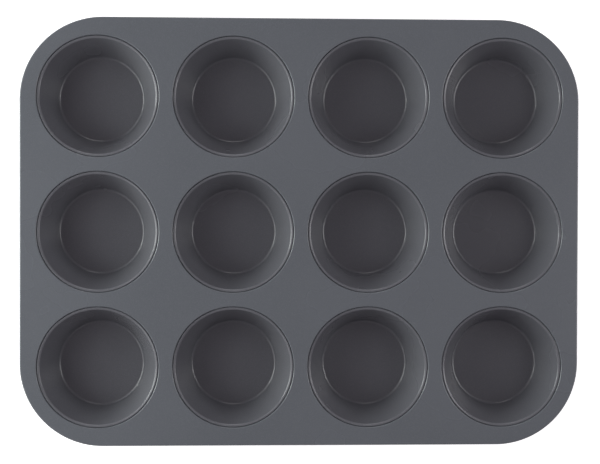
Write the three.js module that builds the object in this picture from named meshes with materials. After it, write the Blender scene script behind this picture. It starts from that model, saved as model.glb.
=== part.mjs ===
// Twelve-cup muffin tin in coated sheet steel, in millimetres.
// +Z is up, +X runs along the four columns, +Y along the three rows, and the origin is under the middle of
// the tin, on the surface that it stands on.
//
// The tin has three kinds of piece:
//   deck_sheet  one pressed sheet with twelve holes, its outer edge curled over a wire
//   rim_wire    the closed steel hoop inside that curl
//   cup_*       twelve drawn cups, each with a lip that is folded over the collar of its hole
//
// Every sheet piece is drawn as a path along its upper face, and its other face is that path offset by the
// sheet's thickness, so each fold keeps the same gauge.

import * as THREE from "three";
import { mergeGeometries, mergeVertices } from "three/addons/utils/BufferGeometryUtils.js";

// Driving dimensions
const TIN_LENGTH = 352;
const TIN_WIDTH = 269;
const CORNER_RADIUS = 52;
const COLUMNS = 4;
const ROWS = 3;
const CUP_PITCH = 85;
const SHEET = 0.5;
const CUP_DEPTH = 29; // from the deck's upper face to the cup floor's upper face
const MOUTH_RADIUS = 36.5; // inside the cup wall, carried up to the level of the deck
const FOOT_RADIUS = 27.3; // inside the cup wall, carried down to the level of the floor
const FLOOR_FILLET = 1.9; // where the wall turns into the floor

// The seam. Going outward from the wall there are the deck's collar, the lip's hem that is folded down
// outside it, and the edge of the trough that the lip is pressed into.
const SEAM_GAP = 0.15; // between neighbouring layers
const LIP_DROP = 0.7; // from the deck's upper face down to the lip's
const LIP_BEND = 1; // where the wall turns outward into the lip
const LIP_TILT = 20; // degrees: the lip's flat rises outward by this much
const HEM_BEND = 0.6; // where the lip turns down into its hem
const HEM_LENGTH = 0.8; // the straight part of the hem
const COLLAR_CLEARANCE = 0.65; // between the collar's top and the lip above it
const TROUGH_RADIUS = 38.1;
const TROUGH_DEPTH = 2.6;
const EDGE_BEVEL_WIDTH = 0.66; // where the deck drops into the trough
const EDGE_BEVEL_DROP = 0.46;

// The rolled rim
const RIM_BEND = 0.9; // where the deck turns down at its outer edge
const WIRE_DROP = 1.7; // from the deck's upper face down to the middle of the wire
const WIRE_RADIUS = 1;
const CURL_GAP = 0.1; // between the wire and the sheet round it
const CURL_END_ANGLE = -180; // degrees: the curl starts at 0, outside the wire, and turns under and inward

// How finely round things are divided
const CUP_SEGMENTS = 24;
const CORNER_SEGMENTS = 8;
const BEND_SEGMENTS = 2;
const WIRE_SIDES = 8;

// Worked out from those
const DECK_TOP = CUP_DEPTH + SHEET;
const LIP_TOP = DECK_TOP - LIP_DROP;
const WALL_SLOPE = (MOUTH_RADIUS - FOOT_RADIUS) / CUP_DEPTH; // outward for each step up
const WALL_TILT = THREE.MathUtils.radToDeg(Math.atan(WALL_SLOPE)); // away from upright
const LEVEL_STRETCH = Math.hypot(1, WALL_SLOPE); // a level distance over the same one square to the wall
const LAYER = SHEET * LEVEL_STRETCH;
const CURL_RADIUS = WIRE_RADIUS + CURL_GAP + SHEET;

const point = (r, z) => new THREE.Vector2(r, z);
const wallRadius = (z) => FOOT_RADIUS + WALL_SLOPE * (z - SHEET);

// Points along an arc, both ends included. Angles are in degrees.
function arc(centre, radius, from, to, steps) {
  return Array.from({ length: steps + 1 }, (_, i) => {
    const angle = THREE.MathUtils.degToRad(from + ((to - from) * i) / steps);
    return point(centre.x + radius * Math.cos(angle), centre.y + radius * Math.sin(angle));
  });
}

// The path moved sideways by the distance, to the right of its direction of travel, with mitred corners.
function offsetPath(path, distance) {
  const sides = path.slice(1).map((end, i) => {
    const along = end.clone().sub(path[i]).normalize();
    return point(along.y, -along.x);
  });
  return path.map((corner, i) => {
    const before = sides[Math.max(i - 1, 0)];
    const after = sides[Math.min(i, sides.length - 1)];
    const mitre = before.clone().add(after);
    return mitre.multiplyScalar((2 * distance) / mitre.lengthSq()).add(corner);
  });
}

// The middle of the bend that touches both the wall and the lip's flat, which runs on to the hem's bend.
function lipBendCentre(hemBend) {
  const tilt = THREE.MathUtils.degToRad(LIP_TILT);
  const square = point(-Math.sin(tilt), Math.cos(tilt)); // square to the flat
  const reach = square.dot(hemBend) + HEM_BEND - LIP_BEND;
  const radiusAtZero = wallRadius(0) + LIP_BEND * LEVEL_STRETCH;
  const height = (reach - square.x * radiusAtZero) / (square.y + square.x * WALL_SLOPE);
  return point(radiusAtZero + WALL_SLOPE * height, height);
}

// A cup's upper face from the middle of its floor, up the wall, outward over the lip and down its hem. The
// hem is parallel to the wall.
function cupPath() {
  const filletHeight = SHEET + FLOOR_FILLET;
  const fillet = point(wallRadius(filletHeight) - FLOOR_FILLET * LEVEL_STRETCH, filletHeight);
  const hemRadius = (z) => wallRadius(z) + 3 * LAYER + 2 * SEAM_GAP;
  const hemBendHeight = LIP_TOP - HEM_BEND;
  const hemBend = point(hemRadius(hemBendHeight) - HEM_BEND * LEVEL_STRETCH, hemBendHeight);
  const hem = arc(hemBend, HEM_BEND, 90 + LIP_TILT, -WALL_TILT, BEND_SEGMENTS);
  const hemEnd = hem.at(-1).y - HEM_LENGTH;
  return [
    point(0, SHEET),
    ...arc(fillet, FLOOR_FILLET, -90, -WALL_TILT, BEND_SEGMENTS),
    ...arc(lipBendCentre(hemBend), LIP_BEND, 180 - WALL_TILT, 90 + LIP_TILT, BEND_SEGMENTS),
    ...hem,
    point(hemRadius(hemEnd), hemEnd),
  ];
}

function cupGeometry() {
  const upper = cupPath();
  const under = offsetPath(upper, SHEET);
  const section = [...under, ...upper.reverse()];
  return new THREE.LatheGeometry(section, CUP_SEGMENTS).rotateX(Math.PI / 2);
}

// The deck's upper face beside a hole: down into the trough, across it, and up the collar under the lip.
function holePath() {
  const collarRadius = (z) => wallRadius(z) + 2 * LAYER + SEAM_GAP;
  const collarTop = LIP_TOP - SHEET - COLLAR_CLEARANCE;
  const troughFloor = DECK_TOP - TROUGH_DEPTH;
  return [
    point(TROUGH_RADIUS + EDGE_BEVEL_WIDTH + SHEET, DECK_TOP),
    point(TROUGH_RADIUS + EDGE_BEVEL_WIDTH, DECK_TOP),
    point(TROUGH_RADIUS, DECK_TOP - EDGE_BEVEL_DROP),
    point(TROUGH_RADIUS, troughFloor),
    point(collarRadius(troughFloor), troughFloor),
    point(collarRadius(collarTop), collarTop),
  ];
}

// The middle of the wire in the rim's section. Distances there are outward from the tin's outline, so they
// are negative.
const wireCentre = () => point(-CURL_RADIUS, DECK_TOP - WIRE_DROP);

// The deck's upper face beside its outer edge: over the bend, down, and round the wire.
function curlPath() {
  const bend = point(-RIM_BEND, DECK_TOP - RIM_BEND);
  const steps = (-CURL_END_ANGLE / 360) * WIRE_SIDES;
  return [
    point(-RIM_BEND - SHEET, DECK_TOP),
    ...arc(bend, RIM_BEND, 90, 0, BEND_SEGMENTS),
    ...arc(wireCentre(), CURL_RADIUS, 0, CURL_END_ANGLE, steps),
  ];
}

// A circle of points, and the tin's outline moved outward by a distance, both anticlockwise from above.
function circleLoop(centre, radius, z) {
  return Array.from({ length: CUP_SEGMENTS }, (_, i) => {
    const angle = (2 * Math.PI * i) / CUP_SEGMENTS;
    return new THREE.Vector3(centre.x + radius * Math.cos(angle), centre.y + radius * Math.sin(angle), z);
  });
}

function outlineLoop(outward, z) {
  const x = TIN_LENGTH / 2 - CORNER_RADIUS;
  const y = TIN_WIDTH / 2 - CORNER_RADIUS;
  const corners = [point(x, y), point(-x, y), point(-x, -y), point(x, -y)];
  return corners.flatMap((corner, quarter) =>
    arc(corner, CORNER_RADIUS + outward, 90 * quarter, 90 * (quarter + 1), CORNER_SEGMENTS).map(
      (p) => new THREE.Vector3(p.x, p.y, z),
    ),
  );
}

// A strip of triangles between two loops. It faces up where the first loop lies inside the second.
function strip(first, second) {
  const positions = first.flatMap((start, i) => {
    const next = (i + 1) % first.length;
    const corners = [start, second[i], second[next], start, second[next], first[next]];
    return corners.flatMap((corner) => corner.toArray());
  });
  return new THREE.BufferGeometry().setAttribute("position", new THREE.Float32BufferAttribute(positions, 3));
}

function strips(loops) {
  return loops.slice(1).map((loop, i) => strip(loops[i], loop));
}

// A level face inside an outline and outside the holes.
function levelFace(outline, holes, facesUp) {
  const shape = new THREE.Shape(outline);
  shape.holes = holes.map((hole) => new THREE.Path(hole));
  const face = new THREE.ShapeGeometry(shape).translate(0, 0, outline[0].z);
  if (!facesUp) face.index.array.reverse();
  return face.toNonIndexed().deleteAttribute("normal").deleteAttribute("uv");
}

function closedGeometry(pieces) {
  const merged = mergeVertices(mergeGeometries(pieces));
  merged.computeVertexNormals();
  return merged;
}

// Where the cups are: row 1 is at the back, at the highest Y, and column 1 at the left, at the lowest X.
function cupPlaces() {
  const places = [];
  for (let row = 1; row <= ROWS; row += 1) {
    for (let column = 1; column <= COLUMNS; column += 1) {
      const x = (column - (COLUMNS + 1) / 2) * CUP_PITCH;
      const y = ((ROWS + 1) / 2 - row) * CUP_PITCH;
      places.push({ name: `cup_row${row}_col${column}`, x, y });
    }
  }
  return places;
}

function deckGeometry() {
  const curl = curlPath();
  const rim = [...curl, ...offsetPath(curl, SHEET).reverse()].map((p) => outlineLoop(p.x, p.y));
  const hole = holePath();
  const edge = [...hole, ...offsetPath(hole, -SHEET).reverse()];
  const holes = cupPlaces().map((place) => edge.map((p) => circleLoop(place, p.x, p.y)));
  return closedGeometry([
    levelFace(rim[0], holes.map((loops) => loops[0]), true),
    levelFace(rim.at(-1), holes.map((loops) => loops.at(-1)), false),
    ...strips(rim),
    ...holes.flatMap((loops) => strips(loops.reverse())),
  ]);
}

function wireGeometry() {
  const section = arc(wireCentre(), WIRE_RADIUS, 90, -270, WIRE_SIDES);
  return closedGeometry(strips(section.map((p) => outlineLoop(p.x, p.y))));
}

function piece(name, geometry, material) {
  const mesh = new THREE.Mesh(geometry, material);
  mesh.name = name;
  return mesh;
}

const coating = new THREE.MeshStandardMaterial({ color: 0x5f6267, roughness: 0.5, metalness: 0.15 });
const wireSteel = new THREE.MeshStandardMaterial({ color: 0xa9abad, roughness: 0.4, metalness: 1 });

const tin = new THREE.Group();
tin.add(piece("deck_sheet", deckGeometry(), coating.clone()));
tin.add(piece("rim_wire", wireGeometry(), wireSteel));

const cups = new THREE.Group();
const cupShape = cupGeometry();
for (const place of cupPlaces()) {
  const cup = piece(place.name, cupShape, coating.clone());
  cup.position.set(place.x, place.y, 0);
  cups.add(cup);
}
tin.add(cups);

export default tin;
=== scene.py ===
"""The look of a twelve-cup muffin tin in coated sheet steel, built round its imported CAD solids.

Everything is in metres in the CAD's frame: +Z up, +X along the tin's longer side, origin under its middle.
Each sheet piece is drawn as a path along its upper face, and its other face is that path offset by the
sheet's thickness. The deck, the cups and the rim wire all replace their faceted CAD nodes. A path's points
are (distance outward, height).
"""

import math

import bmesh
import bpy
from mathutils import Euler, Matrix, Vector


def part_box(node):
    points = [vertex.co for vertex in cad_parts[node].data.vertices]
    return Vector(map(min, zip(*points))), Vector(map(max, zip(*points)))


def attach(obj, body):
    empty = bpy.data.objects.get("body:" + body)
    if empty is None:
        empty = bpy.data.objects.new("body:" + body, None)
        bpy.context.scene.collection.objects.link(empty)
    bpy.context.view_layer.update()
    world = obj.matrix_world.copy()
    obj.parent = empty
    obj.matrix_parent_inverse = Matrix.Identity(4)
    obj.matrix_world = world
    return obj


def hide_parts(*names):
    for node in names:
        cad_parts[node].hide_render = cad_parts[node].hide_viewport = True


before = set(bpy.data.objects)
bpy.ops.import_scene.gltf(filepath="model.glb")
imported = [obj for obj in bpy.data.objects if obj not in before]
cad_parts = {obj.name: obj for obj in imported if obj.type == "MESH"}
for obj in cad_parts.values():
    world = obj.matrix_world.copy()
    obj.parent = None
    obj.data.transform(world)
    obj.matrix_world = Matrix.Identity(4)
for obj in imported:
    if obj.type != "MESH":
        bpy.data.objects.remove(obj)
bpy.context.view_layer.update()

MM = 0.001

# The sheet, the cup and the seam round its mouth
SHEET = 0.5 * MM
MOUTH_RADIUS = 36.5 * MM  # inside the cup wall, carried up to the level of the deck
FOOT_RADIUS = 27.3 * MM  # inside the cup wall, carried down to the level of the floor
FLOOR_FILLET = 1.9 * MM  # where the wall turns into the floor
SEAM_GAP = 0.15 * MM  # between neighbouring layers
LIP_DROP = 0.7 * MM  # from the deck's upper face down to the lip's
LIP_BEND = 1.0 * MM  # where the wall turns outward into the lip
LIP_TILT = 20  # degrees: the lip's flat rises outward by this much
HEM_BEND = 0.6 * MM  # where the lip turns down into its hem
HEM_LENGTH = 0.8 * MM  # the straight part of the hem
COLLAR_CLEARANCE = 0.65 * MM  # between the collar's top and the lip above it
TROUGH_RADIUS = 38.1 * MM
TROUGH_DEPTH = 2.6 * MM
TROUGH_EDGE = 0.7 * MM  # rounding where the deck drops into the trough
TROUGH_EDGE_TURN = 70  # degrees of that rounding
TROUGH_FILLET = 0.3 * MM  # in both corners of the trough's floor
FLAT_STRIP = 0.3 * MM  # the first loop on the level deck beside a bend, which keeps the shading level

# The rim
CORNER_RADIUS = 52 * MM
RIM_BEND = 0.9 * MM  # where the deck turns down at its outer edge
WIRE_DROP = 1.7 * MM  # from the deck's upper face down to the middle of the wire
WIRE_RADIUS = 1.0 * MM
WIRE_GAP = 0.1 * MM  # between the wire and the sheet round it
CURL_RADIUS = WIRE_RADIUS + WIRE_GAP + SHEET
CURL_END_ANGLE = -180  # degrees: the curl starts at 0, outside the wire, and turns under and inward

# How finely things are divided
CUP_SEGMENTS = 144
CORNER_SEGMENTS = 40
FILLET_STEPS = 10
FOLD_STEPS = 14
BEND_STEPS = 6
CURL_STEPS = 36
WIRE_SIDES = 20
SHARP_ANGLE = math.radians(40)  # faces that meet at more than this keep a sharp edge

# The camera, which looks almost straight down
LENS = 82.0
CAMERA_PLACE = Vector((-36.3 * MM, 13.55 * MM, 859.2 * MM))  # from the middle of the deck's upper face
CAMERA_TURN = (-0.897, -2.373, 0.151)  # degrees

# The coating. A noise is its scale, in repeats to the metre, and its detail. A bump is its strength and
# its depth.
DECK_COLOUR = (0.119, 0.128, 0.143)
# The cups' colour is the deck's coating made darker and more mauve: painted shade for the cups' hollows
CUP_COLOUR_AND_SHADE = (0.116, 0.118, 0.132)
PATCH_NOISE = (14.0, 3.0)
PATCH_SHADES = (0.97, 1.03)  # of the coating's colour
PATCH_ROUGHNESS = (0.24, 0.28)
FLAKE_NOISE = (2600.0, 1.0)
FLAKE_SHADE = 1.35
FLAKE_SHARE = (-0.6, 0.5)  # a flake shows only where the share is over 0
PEEL_NOISE = (900.0, 2.0)
PEEL_BUMP = (0.12, 0.02 * MM)
WAVE_NOISE = (22.0, 1.0)
WAVE_BUMP = (0.25, 0.25 * MM)
COATING_IOR = 1.5
COATING_SPECULAR = 0.6

# The wire's steel
STEEL_DARK = (0.30, 0.30, 0.31, 1.0)
STEEL_LIGHT = (0.50, 0.50, 0.51, 1.0)
STAIN_NOISE = (60.0, 4.0)
SCRATCH_NOISE = (1500.0, 2.0)
SCRATCH_ROUGHNESS = (0.28, 0.48)
SCRATCH_BUMP = (0.2, 0.03 * MM)

# Noise stays mostly between these two values
NOISE_LOW = 0.3
NOISE_HIGH = 0.7

BLACK = (0.0, 0.0, 0.0, 1.0)
WHITE = (1.0, 1.0, 1.0, 1.0)

# The pale floor that the tin stands on
FLOOR_SIZE = 6.0
FLOOR_DIVISIONS = 12
FLOOR_COLOUR = (0.9, 0.9, 0.9, 1.0)
FLOOR_GLOW = 0.7
GRAIN_NOISE = (700.0, 3.0)
GRAIN_ROUGHNESS = (0.85, 0.95)
FLOOR_GAP = 0.05 * MM  # under the cups, so that the two faces don't lie in one plane

# The pale wall round the edge of the floor, which only the camera sees
BACKDROP_RADIUS = 2.9
BACKDROP_HEIGHT = 1.5
BACKDROP_SEGMENTS = 96
BACKDROP_COLOUR = (0.86, 0.855, 0.87, 1.0)

# The even light from all round
WORLD_COLOUR = (1.05, 0.925, 1.035, 1.0)
WORLD_STRENGTH = 0.178

# Soft boxes, all turned to one point
LIGHT_TARGET = Vector((0, 0, 0.02))
KEY_COLOUR = (0.955, 1.016, 0.98)
FILL_COLOUR = (1.0, 1.0, 1.0)
# name: degrees round from +X, degrees up, distance, width, watts, colour
SOFT_LIGHTS = {
    "left_low": (175, 12, 1.3, 0.45, 7.2, KEY_COLOUR),
    "left_middle": (180, 32, 0.8, 0.3, 1.42, KEY_COLOUR),
    "left_high": (180, 45, 0.8, 0.3, 0.45, FILL_COLOUR),
    "left_back_middle": (166, 27, 1.0, 0.15, 1.24, KEY_COLOUR),
    "left_back_high": (150, 40, 0.8, 0.3, 0.38, FILL_COLOUR),
    "left_front": (210, 40, 0.8, 0.3, 0.62, FILL_COLOUR),
    "right_middle": (0, 28, 1.3, 0.45, 3.2, FILL_COLOUR),
    "right_high": (0, 45, 0.8, 0.3, 0.78, FILL_COLOUR),
    "back_middle": (90, 25, 1.3, 0.45, 2.77, FILL_COLOUR),
    "front": (270, 45, 0.8, 0.3, 0.1, FILL_COLOUR),
}

DECK_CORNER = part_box("deck_sheet")[1]  # the deck's highest corner, at the right and the back
DECK_TOP = DECK_CORNER.z
CUP_DEPTH = DECK_TOP - SHEET
WALL_SLOPE = (MOUTH_RADIUS - FOOT_RADIUS) / CUP_DEPTH
WALL_TILT = math.degrees(math.atan(WALL_SLOPE))
LEVEL_STRETCH = math.hypot(1, WALL_SLOPE)  # a level distance over the same one square to the wall
LAYER = SHEET * LEVEL_STRETCH  # a layer of sheet along the wall, measured level
LIP_TOP = DECK_TOP - LIP_DROP
WIRE_CENTRE = Vector((-CURL_RADIUS, DECK_TOP - WIRE_DROP))  # outward from the tin's outline, and height


# ---- paths ---------------------------------------------------------------------------------------

def wall_radius(z):
    return FOOT_RADIUS + WALL_SLOPE * (z - SHEET)


def arc(centre, radius, start, end, steps):
    """Points along an arc, both ends included. Angles are in degrees."""
    angles = [math.radians(start + (end - start) * i / steps) for i in range(steps + 1)]
    return [Vector((centre[0] + radius * math.cos(a), centre[1] + radius * math.sin(a))) for a in angles]


def offset_path(path, distance):
    """The path moved sideways to the right of its direction of travel, with mitred corners."""
    sides = []
    for start, end in zip(path, path[1:]):
        along = (end - start).normalized()
        sides.append(Vector((along.y, -along.x)))
    moved = []
    for i, corner in enumerate(path):
        mitre = sides[max(i - 1, 0)] + sides[min(i, len(sides) - 1)]
        moved.append(corner + mitre * (2 * distance / mitre.length_squared))
    return moved


def bend(before, corner, after, radius):
    """The points of a rounded bend that stands in for a sharp corner."""
    to_before = (before - corner).normalized()
    to_after = (after - corner).normalized()
    half = to_before.angle(to_after) / 2
    centre = corner + (to_before + to_after).normalized() * (radius / math.sin(half))
    start = corner + to_before * (radius / math.tan(half)) - centre
    end = corner + to_after * (radius / math.tan(half)) - centre
    points = []
    for i in range(BEND_STEPS + 1):
        share = i / BEND_STEPS
        direction = start.normalized().slerp(end.normalized(), share)
        points.append(centre + direction * radius)
    return points


def lip_bend_centre(hem_bend):
    """The middle of the bend that touches both the wall and the lip's flat."""
    tilt = math.radians(LIP_TILT)
    square = Vector((-math.sin(tilt), math.cos(tilt)))  # square to the flat
    reach = square.dot(hem_bend) + HEM_BEND - LIP_BEND
    radius_at_zero = wall_radius(0) + LIP_BEND * LEVEL_STRETCH
    height = (reach - square.x * radius_at_zero) / (square.y + square.x * WALL_SLOPE)
    return Vector((radius_at_zero + WALL_SLOPE * height, height))


def cup_path():
    """From the middle of the floor, up the wall, outward over the lip and down its hem."""
    fillet_height = SHEET + FLOOR_FILLET
    fillet = (wall_radius(fillet_height) - FLOOR_FILLET * LEVEL_STRETCH, fillet_height)
    lip_width = 3 * LAYER + 2 * SEAM_GAP
    hem_bend_height = LIP_TOP - HEM_BEND
    hem_bend = Vector((wall_radius(hem_bend_height) + lip_width - HEM_BEND * LEVEL_STRETCH, hem_bend_height))
    hem = arc(hem_bend, HEM_BEND, 90 + LIP_TILT, -WALL_TILT, FOLD_STEPS)
    hem_end = hem[-1].y - HEM_LENGTH
    return [
        Vector((0, SHEET)),
        Vector((fillet[0] - FLAT_STRIP, SHEET)),
        *arc(fillet, FLOOR_FILLET, -90, -WALL_TILT, FILLET_STEPS),
        *arc(lip_bend_centre(hem_bend), LIP_BEND, 180 - WALL_TILT, 90 + LIP_TILT, FOLD_STEPS),
        *hem,
        Vector((wall_radius(hem_end) + lip_width, hem_end)),
    ]


def hole_path():
    """The deck's upper face beside a hole: down into the trough, across it, and up the collar."""
    floor = DECK_TOP - TROUGH_DEPTH
    collar_top = LIP_TOP - SHEET - COLLAR_CLEARANCE

    def collar(z):
        return Vector((wall_radius(z) + 2 * LAYER + SEAM_GAP, z))

    outer_foot = Vector((TROUGH_RADIUS, floor))
    edge_start = TROUGH_RADIUS + TROUGH_EDGE * math.sin(math.radians(TROUGH_EDGE_TURN))
    edge_arc = arc((edge_start, DECK_TOP - TROUGH_EDGE), TROUGH_EDGE, 90, 90 + TROUGH_EDGE_TURN, BEND_STEPS)
    return [
        Vector((edge_start + FLAT_STRIP, DECK_TOP)),
        *edge_arc,
        *bend(edge_arc[-1], outer_foot, collar(floor), TROUGH_FILLET),
        *bend(outer_foot, collar(floor), collar(collar_top), TROUGH_FILLET),
        collar(collar_top),
    ]


def curl_path():
    """The deck's upper face beside its outer edge: over the bend, down, and round the wire."""
    return [
        Vector((-RIM_BEND - FLAT_STRIP, DECK_TOP)),
        *arc((-RIM_BEND, DECK_TOP - RIM_BEND), RIM_BEND, 90, 0, FOLD_STEPS),
        *arc(WIRE_CENTRE, CURL_RADIUS, 0, CURL_END_ANGLE, CURL_STEPS),
    ]


# ---- meshes --------------------------------------------------------------------------------------

def circle_loop(bm, centre, radius, z):
    turns = [2 * math.pi * i / CUP_SEGMENTS for i in range(CUP_SEGMENTS)]
    points = [(centre[0] + radius * math.cos(a), centre[1] + radius * math.sin(a), z) for a in turns]
    return [bm.verts.new(point) for point in points]


def outline_loop(bm, outward, z):
    """A loop that follows the tin's outline, at a distance outward from it."""
    x = DECK_CORNER.x - CORNER_RADIUS
    y = DECK_CORNER.y - CORNER_RADIUS
    loop = []
    for quarter, corner in enumerate([(x, y), (-x, y), (-x, -y), (x, -y)]):
        start = 90 * quarter
        loop += arc(corner, CORNER_RADIUS + outward, start, start + 90, CORNER_SEGMENTS)
    return [bm.verts.new((p.x, p.y, z)) for p in loop]


def skin(bm, loops):
    for near, far in zip(loops, loops[1:]):
        for i in range(len(near)):
            bm.faces.new((near[i - 1], near[i], far[i], far[i - 1]))


def fan(bm, centre, loop):
    for i in range(len(loop)):
        bm.faces.new((centre, loop[i - 1], loop[i]))


def level_face(bm, loops):
    """A level face inside the first loop and outside the others."""
    edges = [bm.edges.get((loop[i - 1], loop[i])) for loop in loops for i in range(len(loop))]
    bmesh.ops.triangle_fill(bm, use_beauty=True, edges=edges)


def finish_mesh(name, bm):
    bmesh.ops.recalc_face_normals(bm, faces=bm.faces)
    mesh = bpy.data.meshes.new(name)
    bm.to_mesh(mesh)
    bm.free()
    mesh.shade_smooth()
    mesh.set_sharp_from_angle(angle=SHARP_ANGLE)
    return mesh


def cup_mesh():
    """One cup round its own axis."""
    bm = bmesh.new()
    upper = cup_path()
    under = offset_path(upper, SHEET)
    section = upper[1:] + under[:0:-1]
    loops = [circle_loop(bm, (0, 0), p.x, p.y) for p in section]
    skin(bm, loops)
    fan(bm, bm.verts.new((0, 0, upper[0].y)), loops[0])
    fan(bm, bm.verts.new((0, 0, under[0].y)), loops[-1])
    return finish_mesh("cup", bm)


def deck_mesh(centres):
    bm = bmesh.new()
    curl = curl_path()
    rim = [outline_loop(bm, p.x, p.y) for p in curl + offset_path(curl, SHEET)[::-1]]
    skin(bm, rim)
    edge = hole_path()
    section = edge + offset_path(edge, -SHEET)[::-1]
    holes = [[circle_loop(bm, centre, p.x, p.y) for p in section] for centre in centres]
    for hole in holes:
        skin(bm, hole)
    level_face(bm, [rim[0]] + [hole[0] for hole in holes])
    level_face(bm, [rim[-1]] + [hole[-1] for hole in holes])
    return finish_mesh("deck", bm)


def wire_mesh():
    bm = bmesh.new()
    section = arc(WIRE_CENTRE, WIRE_RADIUS, 0, 360, WIRE_SIDES)[:-1]
    loops = [outline_loop(bm, p.x, p.y) for p in section]
    skin(bm, loops + loops[:1])
    return finish_mesh("wire", bm)


def add_piece(name, mesh, material, node):
    piece = bpy.data.objects.new(name, mesh)
    bpy.context.scene.collection.objects.link(piece)
    mesh.materials.append(material)
    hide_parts(node)
    return piece


# ---- materials -----------------------------------------------------------------------------------

class Nodes:
    """A material's node tree, with short calls to add nodes and join them."""

    def __init__(self, name):
        self.material = bpy.data.materials.new(name)
        self.material.use_nodes = True
        self.tree = self.material.node_tree
        self.shader = self.tree.nodes["Principled BSDF"]

    def add(self, kind, inputs=None, **settings):
        node = self.tree.nodes.new(kind)
        for key, value in settings.items():
            setattr(node, key, value)
        for key, value in (inputs or {}).items():
            self.put(node.inputs[key], value)
        return node

    def put(self, socket, value):
        if isinstance(value, bpy.types.NodeSocket):
            self.tree.links.new(value, socket)
        else:
            socket.default_value = value

    def surface(self, name, value):
        self.put(self.shader.inputs[name], value)

    def position(self):
        return self.add("ShaderNodeNewGeometry").outputs["Position"]

    def noise(self, where, scale, detail):
        node = self.add("ShaderNodeTexNoise", {"Vector": where, "Scale": scale, "Detail": detail})
        return node.outputs["Fac"]

    def spread(self, noise, low, high):
        """Noise spread smoothly over low to high."""
        ends = {"Value": noise, "From Min": NOISE_LOW, "From Max": NOISE_HIGH, "To Min": low, "To Max": high}
        return self.add("ShaderNodeMapRange", ends, interpolation_type="SMOOTHSTEP").outputs["Result"]

    def bump(self, height, strength, distance):
        return self.add("ShaderNodeBump", {"Height": height, "Strength": strength, "Distance": distance})

    def blend(self, share, first, second):
        node = self.add("ShaderNodeMix", data_type="RGBA")
        self.put(node.inputs["Factor"], share)
        self.put(node.inputs["A"], first)
        self.put(node.inputs["B"], second)
        return node.outputs["Result"]


def coating_material(name, colour):
    """Matt non-stick coating: fine flakes, orange peel, and faint broad patches and waves."""
    nodes = Nodes(name)
    where = nodes.position()
    patches = nodes.noise(where, *PATCH_NOISE)
    flakes = nodes.noise(where, *FLAKE_NOISE)
    peel = nodes.noise(where, *PEEL_NOISE)
    waves = nodes.noise(where, *WAVE_NOISE)
    darker, lighter, flake = [(*[c * shade for c in colour], 1.0) for shade in (*PATCH_SHADES, FLAKE_SHADE)]
    base = nodes.blend(nodes.spread(patches, 0.0, 1.0), darker, lighter)
    nodes.surface("Base Color", nodes.blend(nodes.spread(flakes, *FLAKE_SHARE), base, flake))
    nodes.surface("Roughness", nodes.spread(patches, *PATCH_ROUGHNESS))
    fine = nodes.bump(peel, *PEEL_BUMP)
    broad = nodes.bump(waves, *WAVE_BUMP)
    nodes.put(broad.inputs["Normal"], fine.outputs["Normal"])
    nodes.surface("Normal", broad.outputs["Normal"])
    nodes.surface("Metallic", 0.0)
    nodes.surface("IOR", COATING_IOR)
    nodes.surface("Specular IOR Level", COATING_SPECULAR)
    return nodes.material


def wire_material():
    """Plain drawn steel wire."""
    nodes = Nodes("drawn_steel")
    where = nodes.position()
    stain = nodes.noise(where, *STAIN_NOISE)
    scratches = nodes.noise(where, *SCRATCH_NOISE)
    nodes.surface("Base Color", nodes.blend(stain, STEEL_DARK, STEEL_LIGHT))
    nodes.surface("Metallic", 1.0)
    nodes.surface("Roughness", nodes.spread(scratches, *SCRATCH_ROUGHNESS))
    nodes.surface("Normal", nodes.bump(scratches, *SCRATCH_BUMP).outputs["Normal"])
    return nodes.material


def floor_material():
    """White paper, lit so that it stays pale everywhere."""
    nodes = Nodes("white_paper")
    grain = nodes.noise(nodes.position(), *GRAIN_NOISE)
    nodes.surface("Base Color", FLOOR_COLOUR)
    nodes.surface("Roughness", nodes.spread(grain, *GRAIN_ROUGHNESS))
    nodes.surface("Emission Color", WHITE)
    nodes.surface("Emission Strength", FLOOR_GLOW)
    return nodes.material


def backdrop_material():
    """A paper wall that gives off its own pale colour and takes no light."""
    nodes = Nodes("backdrop_paper")
    nodes.surface("Base Color", BLACK)
    nodes.surface("Specular IOR Level", 0.0)
    nodes.surface("Emission Color", BACKDROP_COLOUR)
    nodes.surface("Emission Strength", 1.0)
    return nodes.material


# ---- the scene -----------------------------------------------------------------------------------

def add_tin():
    deck_coating = coating_material("deck_coating", DECK_COLOUR)
    # The cups' coating carries painted shade: darker and more mauve than the deck's
    cup_coating = coating_material("cup_coating", CUP_COLOUR_AND_SHADE)
    centres = {}
    for node in sorted(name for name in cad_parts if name.startswith("cup_")):
        low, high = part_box(node)
        centres[node] = ((low + high) / 2).to_2d()
    deck = add_piece("deck", deck_mesh(centres.values()), deck_coating, "deck_sheet")
    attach(deck, "root")
    wire = add_piece("wire", wire_mesh(), wire_material(), "rim_wire")
    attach(wire, "root")
    pattern = cup_mesh()
    for node, centre in centres.items():
        cup = add_piece("look_" + node, pattern.copy(), cup_coating, node)
        cup.location = (*centre, 0)
        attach(cup, "root")


def add_stage_piece(name, bm, material):
    mesh = bpy.data.meshes.new(name)
    bm.to_mesh(mesh)
    bm.free()
    mesh.materials.append(material)
    piece = bpy.data.objects.new(name, mesh)
    bpy.context.scene.collection.objects.link(piece)
    return piece


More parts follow.
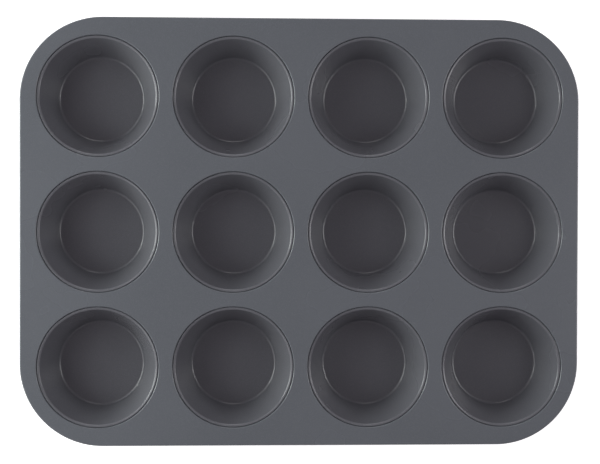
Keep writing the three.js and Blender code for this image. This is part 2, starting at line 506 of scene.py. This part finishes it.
def add_floor():
    bm = bmesh.new()
    bmesh.ops.create_grid(bm, x_segments=FLOOR_DIVISIONS, y_segments=FLOOR_DIVISIONS, size=FLOOR_SIZE / 2)
    floor = add_stage_piece("floor", bm, floor_material())
    floor.location.z = -FLOOR_GAP


def add_backdrop():
    bm = bmesh.new()
    bmesh.ops.create_cone(
        bm,
        cap_ends=False,
        segments=BACKDROP_SEGMENTS,
        radius1=BACKDROP_RADIUS,
        radius2=BACKDROP_RADIUS,
        depth=BACKDROP_HEIGHT,
    )
    bmesh.ops.translate(bm, verts=bm.verts, vec=Vector((0, 0, BACKDROP_HEIGHT / 2)))
    backdrop = add_stage_piece("backdrop", bm, backdrop_material())
    backdrop.visible_diffuse = False
    backdrop.visible_glossy = False
    backdrop.visible_transmission = False
    backdrop.visible_shadow = False


def add_lights():
    for name, (azimuth, elevation, distance, width, watts, colour) in SOFT_LIGHTS.items():
        light = bpy.data.lights.new(name, "AREA")
        light.size = width
        light.energy = watts
        light.color = colour
        lamp = bpy.data.objects.new(name, light)
        direction = Vector((1, 0, 0))
        direction.rotate(Euler((0, -math.radians(elevation), math.radians(azimuth))))
        lamp.location = direction * distance
        lamp.rotation_euler = (LIGHT_TARGET - lamp.location).to_track_quat("-Z", "Y").to_euler()
        bpy.context.scene.collection.objects.link(lamp)


def add_world():
    world = bpy.data.worlds.new("studio")
    world.use_nodes = True
    background = world.node_tree.nodes["Background"]
    background.inputs["Color"].default_value = WORLD_COLOUR
    background.inputs["Strength"].default_value = WORLD_STRENGTH
    bpy.context.scene.world = world


def add_camera():
    camera = bpy.data.cameras.new("camera")
    camera.lens = LENS
    eye = bpy.data.objects.new("camera", camera)
    eye.location = CAMERA_PLACE + Vector((0, 0, DECK_TOP))
    eye.rotation_euler = Euler([math.radians(a) for a in CAMERA_TURN], "XYZ")
    bpy.context.scene.collection.objects.link(eye)
    bpy.context.scene.camera = eye


add_tin()
add_floor()
add_backdrop()
add_lights()
add_world()
add_camera()
bpy.context.scene.view_settings.view_transform = "Standard"
bpy.context.view_layer.update()
